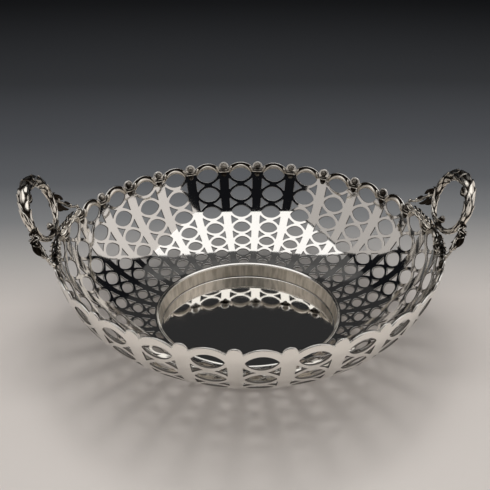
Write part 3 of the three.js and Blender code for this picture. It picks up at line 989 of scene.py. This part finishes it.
def wreathRing(turnAbout, knotSide):
    shells = Shells()
    ringSteps, roundSteps = wreath["steps"]
    turns = np.linspace(0, tau, ringSteps, endpoint=False)
    arounds = np.linspace(0, tau, roundSteps, endpoint=False)
    core = onWreath(turns[:, None], arounds[None, :], wreath["core"]).reshape(-1, 3)
    # the core between the leaves is dark all over: painted shade and tarnish
    shells.add(core, outwardFaces(core, ringFaces(ringSteps, roundSteps, closedRows=True)), 1.0)
    chance = np.random.default_rng(wreath["seed"])
    step = branchLengths[-1] / wreath["rows"]
    for side in (1, -1):
        for row in range(wreath["rows"]):
            for leaf in range(wreath["leavesRound"]):
                around = tau * (leaf + 0.5 * (row % 2)) / wreath["leavesRound"] + 0.25
                lift = wreath["lift"] * chance.uniform(0.4, 1.6)
                start = (row - 0.3) * step + chance.uniform(-0.6, 0.6)
                length = wreath["leafLength"] * chance.uniform(0.85, 1.1)
                wreathLeaf(shells, max(start, 0.3), length, around, side, lift, chance.uniform(-0.5, 0.5))
    for turn, width, reach in wreath["bands"]:
        spread = np.linspace(-1, 1, 7)[:, None]
        band = onWreath(turn + width * spread, arounds[None, :], reach - 0.14 * spread**4)
        loft(shells, band, 0.6)
    wreathKnot(shells, knotSide)
    shells.spin(turnAbout)
    return shells


budSection = [  # radius, height above the foot of the ring, and how deep in shadow and tarnish
    (0.02, -0.4, 1), (1.1, -0.4, 1), (1.0, 0.5, 0.9), (1.6, 1.1, 0.7), (2.2, 1.8, 0.5),
    (2.3, 2.3, 0.3), (2.0, 2.5, 0.8), (1.7, 2.4, 1), (1.9, 2.8, 0.8), (1.85, 3.5, 0.55),
    (1.5, 4.2, 0.45), (1.0, 4.8, 0.45), (0.45, 5.0, 0.5), (0.3, 5.3, 0.3), (0.02, 5.4, 0.3),
]


# A bud in its cup, standing inside the foot of the ring
def bud(turnAbout):
    shells = Shells()
    section = np.array(budSection)
    turned(shells, section[:, :2], 24, section[:, 2])
    foot = wreathFoot + wreathRise * wreath["base"]
    axes = np.array([np.cross((0, 1, 0), wreathRise), (0, 1, 0), wreathRise])
    shells.points = [points @ axes + foot for points in shells.points]
    shells.spin(turnAbout)
    return shells


spray = {
    "bays": 1.5,  # from the ring to the knob where the stem ends
    "from": 75,  # degrees round the ring
    "steps": 40,  # along the stem
    "radii": ([0, 0.2, 0.7, 1], [1.4, 1.0, 0.75, 0.9]),  # of the stem, by share of its length
    "stem": 1.1,
    "leafBays": 1.12,
    "leafBelly": 4.8,
    "leafHeight": 9.5,
    "stemBays": 1.3,
    "stemBelly": 3,
    "stemHeight": 5,
    "endRise": 3.4,
    "leaves": [  # step along the stem where one starts, how far it goes away, up and outward, half width
        (1, 2.0, 6.0, 0.0, 3.0),
        (5, 3.5, 5.0, 1.5, 3.2),
        (9, 5.0, 2.5, 0.0, 3.0),
        (3, 2.5, -5.5, 0.5, 3.0),
        (8, 3.5, -5.0, 0.0, 3.0),
        (4, 1.5, -6.0, -3.5, 3.0),
        (13, 4.0, -3.5, -2.0, 2.6),
        (21, 4.5, 1.6, 0.0, 1.5),
        (3, 4.0, 2.4, 1.0, 3.2),
        (6, 3.2, 4.6, -1.0, 3.0),
    ],
    "berries": ((-2, 0, 0, 1.2), (30, 1.2, 0, 0.9), (12, 1.5, 1, 1.3)),  # step, up, outward, radius
}


def overRim(bays, out, rise):
    radius = bowl["rimRadius"] + out
    return np.array([radius * math.cos(bays * bay), radius * math.sin(bays * bay), bowl["rimHeight"] + rise])


# A smooth line through points, Catmull-Rom, with its directions
def smoothLine(knots, steps):
    knots = np.vstack([2 * knots[0] - knots[1], knots, 2 * knots[-1] - knots[-2]])
    line = []
    for a, b, c, d in zip(knots, knots[1:], knots[2:], knots[3:]):
        for t in np.linspace(0, 1, 24, endpoint=False):
            line.append(0.5 * (
                2 * b + (c - a) * t + (2 * a - 5 * b + 4 * c - d) * t * t + (3 * b - 3 * c + d - a) * t**3
            ))
    line = np.array(line + [knots[-2]])
    lengths = lengthsAlong(line)
    at = np.linspace(0, lengths[-1], steps)
    points = np.column_stack([np.interp(at, lengths, line[:, k]) for k in range(3)])
    along = np.gradient(points, axis=0)
    return points, along / np.linalg.norm(along, axis=1)[:, None]


def tube(shells, points, along, radii, hollow=0.0, sides=10):
    turns = np.linspace(0, tau, sides, endpoint=False)[:, None]
    rings = []
    for point, way, radius in zip(points, along, radii):
        wide = np.cross(way, (0, 0, 1))
        wide /= np.linalg.norm(wide)
        thin = np.cross(wide, way)
        rings.append(point + radius * (np.cos(turns) * wide + np.sin(turns) * thin))
    loft(shells, rings, hollow)


# A curled leaf from one point to another, its edges rolled up by roll radians about its own length, darker
# along its middle by dark
def curledLeaf(shells, start, end, outward, halfWidth, roll, arch, dark=0.85):
    s = np.linspace(0, 1, 15)[:, None, None]
    q = np.linspace(-1, 1, 11)[None, :, None]
    way = (end - start) / np.linalg.norm(end - start)
    wide = np.cross(outward, way)
    wide /= np.linalg.norm(wide)
    lift = np.cross(way, wide)
    width = halfWidth * np.sin(np.pi * np.clip(s * 0.93 + 0.07, 0, 1)) ** 0.62 + 0.15
    radius = width / roll
    centre = start + (end - start) * s + lift * arch * 4 * s * (1 - s)
    middle = centre + wide * radius * np.sin(q * roll) + lift * radius * (1 - np.cos(q * roll))
    ribs = 0.12 * np.cos(q * 9) * (1 - q * q)
    inwardWay = -(wide * np.sin(q * roll) - lift * np.cos(q * roll))
    top = middle + inwardWay * (0.35 + ribs)
    bottom = middle - inwardWay * 0.35
    # darker along the middle of the curl: painted shade and tarnish
    hollow = (dark * (1 - np.abs(q) ** 3) + 0 * s)[..., 0]
    plate(shells, top, bottom, hollow)


# Small leaves that climb from the foot of the ring over the next crown
def crownLeaves(shells):
    for i, bays in enumerate(np.linspace(0.1, 1.2, 12)):
        lean = -1 if i % 2 else 1  # toward the inside of the bowl or the outside
        start = overRim(bays, 0.5 * lean - 0.6, -0.4)
        end = overRim(bays + 0.2, 1.8 * lean - 1.2, 0.9 + 0.7 * (i % 3))
        outward = np.array([math.cos(bays * bay), math.sin(bays * bay), 0.9 * lean]) * lean
        curledLeaf(shells, start, end, outward, 1.7, 1.0, 0.5, 0.5)


def berry(shells, place, size):
    ball = Shells()
    angles = np.linspace(-math.pi / 2, math.pi / 2, 9)
    turned(ball, [(max(0.02, size * math.cos(a)), size * math.sin(a)) for a in angles], 14)
    shells.add(np.concatenate(ball.points) + place, ball.faces, 0.3)


# A stem from the flank of the ring down to the rim, with its leaves and berries
def leafSpray(side, turnAbout):
    shells = Shells()
    turn = math.radians(spray["from"])
    flank = onWreath(turn, 0, 1)
    out = flank - onWreath(turn, 0, 0)
    out /= np.linalg.norm(out)
    knots = np.array([
        flank - 0.3 * out,
        flank + 2 * spray["stem"] * out,
        overRim(spray["leafBays"], spray["leafBelly"], spray["leafHeight"]),
        overRim(spray["stemBays"], spray["stemBelly"], spray["stemHeight"]),
        overRim(spray["bays"], 0, spray["endRise"]),
    ])
    points, along = smoothLine(knots, spray["steps"])
    radii = np.interp(np.linspace(0, 1, spray["steps"]), *spray["radii"])
    tube(shells, points, along, radii, 0.45)
    radial = np.array([math.cos(spray["leafBays"] * bay), math.sin(spray["leafBays"] * bay), 0])
    up = np.array([0, 0, 1.0])
    ahead = points[24] - points[0]
    ahead /= np.linalg.norm(ahead)
    for i, (step, away, rise, belly, halfWidth) in enumerate(spray["leaves"]):
        way = ahead * away + up * rise + radial * belly
        start = points[step] - way * 0.25
        outward = radial + up * 0.2 if i % 2 else radial * 0.6 - ahead
        curledLeaf(shells, start, start + way * 1.3, outward, halfWidth, 1.5, 1.0, 1.0)
    for step, rise, belly, size in spray["berries"]:
        berry(shells, points[step] + up * rise + radial * belly, size)
    crownLeaves(shells)
    if side < 0:
        shells.mirror()
    shells.spin(turnAbout)
    return shells


def handlePiece(shells, name, node):
    shells.piece(name, handleSilver, "handle_silver", node)


for end, about, knotSide in (("right", 0.0, -1), ("left", math.pi, 1)):
    label = end.capitalize()
    handlePiece(wreathRing(about, knotSide), "wreath" + label, f"wreath_handle_{end}")
    handlePiece(bud(about), "bud" + label, f"handle_bud_{end}")
    for side in (1, -1):
        where = "back" if (side > 0) == (end == "right") else "front"
        handlePiece(leafSpray(side, about), "spray" + label + where.capitalize(), f"leaf_spray_{end}_{where}")
print("handles ready")

# The table: pale paper whose colour darkens behind the bowl as a painted falloff of the light, and what the
# silver mirrors round it
sideTint = (1, 0.955, 0.93)
studio = {
    "floorSize": 8.0,  # metres
    "dark": (0.006, 0.0065, 0.008, 1),
    # painted falloff of light: the paper's colour darkens with distance behind the bowl
    "paperFalloffStops": [  # distance behind the middle of the bowl, in metres, and colour
        (-0.35, (0.71, 0.66, 0.615)),
        (0.03, (0.57, 0.525, 0.49)),
        (0.09, (0.40, 0.38, 0.362)),
        (0.16, (0.198, 0.201, 0.204)),
        (0.24, (0.103, 0.108, 0.116)),
        (0.36, (0.067, 0.071, 0.079)),
        (0.60, (0.033, 0.035, 0.039)),
        (1.30, (0.015, 0.016, 0.018)),
    ],
    "lamps": {  # place, aim, size, glow, the silver that mirrors it or the paper that it lights, and tint
        "softbox": ((0.02, 0.01, 0.90), (0.02, 0.01, 0), (0.96, 0.88), 1.12, "silver"),
        "left diffuser": ((-0.90, -0.08, 0.79), (0, -0.08, 0.79), (1.64, 1.52), 0.46, "silver", sideTint),
        "right diffuser": ((0.90, -0.08, 0.79), (0, -0.08, 0.79), (1.64, 1.52), 0.67, "silver", sideTint),
        "dim screen": ((0.0, 0.66, 0.90), (0.0, 0.66, 0), (0.95, 0.42), 0.075, "silver"),
        "back screen": ((0.0, 1.05, 0.75), (0, 0, 0.1), (0.8, 0.9), 0.022, "silver"),
        "paper fill": ((0.0, 0.0, 1.60), (0, 0, 0), (1.5, 1.5), 3.2, "paper"),
        "front fill": ((0.0, -1.2, 0.80), (0, -0.1, 0), (1.2, 0.6), 1.4, "paper"),
        "key lamp": ((0.05, 0.34, 1.25), (0, 0, 0.03), (0.30, 0.30), 9.0, "paper"),
    },
}


# Paper coloured by distance behind the bowl; the darkening is a painted falloff of light
def paper():
    f = Finish("graded paper")
    here = f.node("TexCoord", output="Object")
    behind = f.node("SeparateXYZ", {}, {0: here}, output="Y")
    near, far = studio["paperFalloffStops"][0][0], studio["paperFalloffStops"][-1][0]
    stops = [((place - near) / (far - near), colour) for place, colour in studio["paperFalloffStops"]]
    shade = f.node("ValToRGB", {"stops": stops}, {0: f.node("MapRange", {}, {0: behind, 1: near, 2: far})})
    grain = f.bumped(f.noise(here, 1.5, 3), 0.05, 0.3)
    return f.finished({"Base Color": shade, "Roughness": 0.75, "Normal": grain})


floorMesh = bpy.data.meshes.new("table")
edge = studio["floorSize"] / 2
corners = [(-edge, -edge, 0), (edge, -edge, 0), (edge, edge, 0), (-edge, edge, 0)]
floorMesh.from_pydata(corners, [], [(0, 1, 2, 3)])
floorMesh.materials.append(paper())
table = linked("table", floorMesh)


def areaLight(name, place, aim, size, glow, purpose, tint=(1, 1, 1)):
    data = bpy.data.lights.new(name, "AREA")
    data.shape = "RECTANGLE"
    data.size, data.size_y = size
    data.energy = math.pi * size[0] * size[1] * glow
    data.color = tint
    made = linked(name, data)
    made.location = place
    made.rotation_euler = (Vector(aim) - Vector(place)).to_track_quat("-Z", "Y").to_euler()
    made.visible_camera = False
    made.visible_glossy = purpose == "silver"
    made.visible_diffuse = purpose == "paper"


for name, lamp in studio["lamps"].items():
    areaLight(name, *lamp)

world = bpy.data.worlds.new("dark studio")
world.use_nodes = True
world.node_tree.nodes["Background"].inputs["Color"].default_value = studio["dark"]
world.node_tree.nodes["Background"].inputs["Strength"].default_value = 1.0
bpy.context.scene.world = world
bpy.context.scene.view_settings.view_transform = "Standard"

# The camera stands 409 mm from the middle of the rim, in front and above
view = {
    "azimuth": -93.39,  # degrees
    "elevation": 27.86,
    "distance": 409.06,
    "roll": 0.0085,  # radians
    "focal": 673.93,  # pixels
    "frame": 490,
    "shift": (3.86, -10.07),  # pixels, right and down
    "sensor": 36,
    "clip": 0.01,  # metres
}
cameraData = bpy.data.cameras.new("camera")
camera = linked("camera", cameraData)
azimuth, elevation = math.radians(view["azimuth"]), math.radians(view["elevation"])
level = Vector((math.cos(azimuth), math.sin(azimuth), 0))
target = Vector((0, 0, bowl["rimHeight"])) * mm
toCamera = level * math.cos(elevation) + Vector((0, 0, 1)) * math.sin(elevation)
rightWay = Vector((-math.sin(azimuth), math.cos(azimuth), 0))
upWay = toCamera.cross(rightWay)
cos, sin = math.cos(view["roll"]), math.sin(view["roll"])
rolledRight = rightWay * cos + upWay * sin
rolledUp = upWay * cos - rightWay * sin
turnMatrix = Matrix((rolledRight, rolledUp, toCamera)).transposed()
camera.matrix_world = Matrix.Translation(target + toCamera * view["distance"] * mm) @ turnMatrix.to_4x4()
cameraData.sensor_width = view["sensor"]
cameraData.lens = view["focal"] / view["frame"] * view["sensor"]
cameraData.shift_x = -view["shift"][0] / view["frame"]
cameraData.shift_y = view["shift"][1] / view["frame"]
cameraData.clip_start = view["clip"]
bpy.context.scene.camera = camera
print("studio ready")
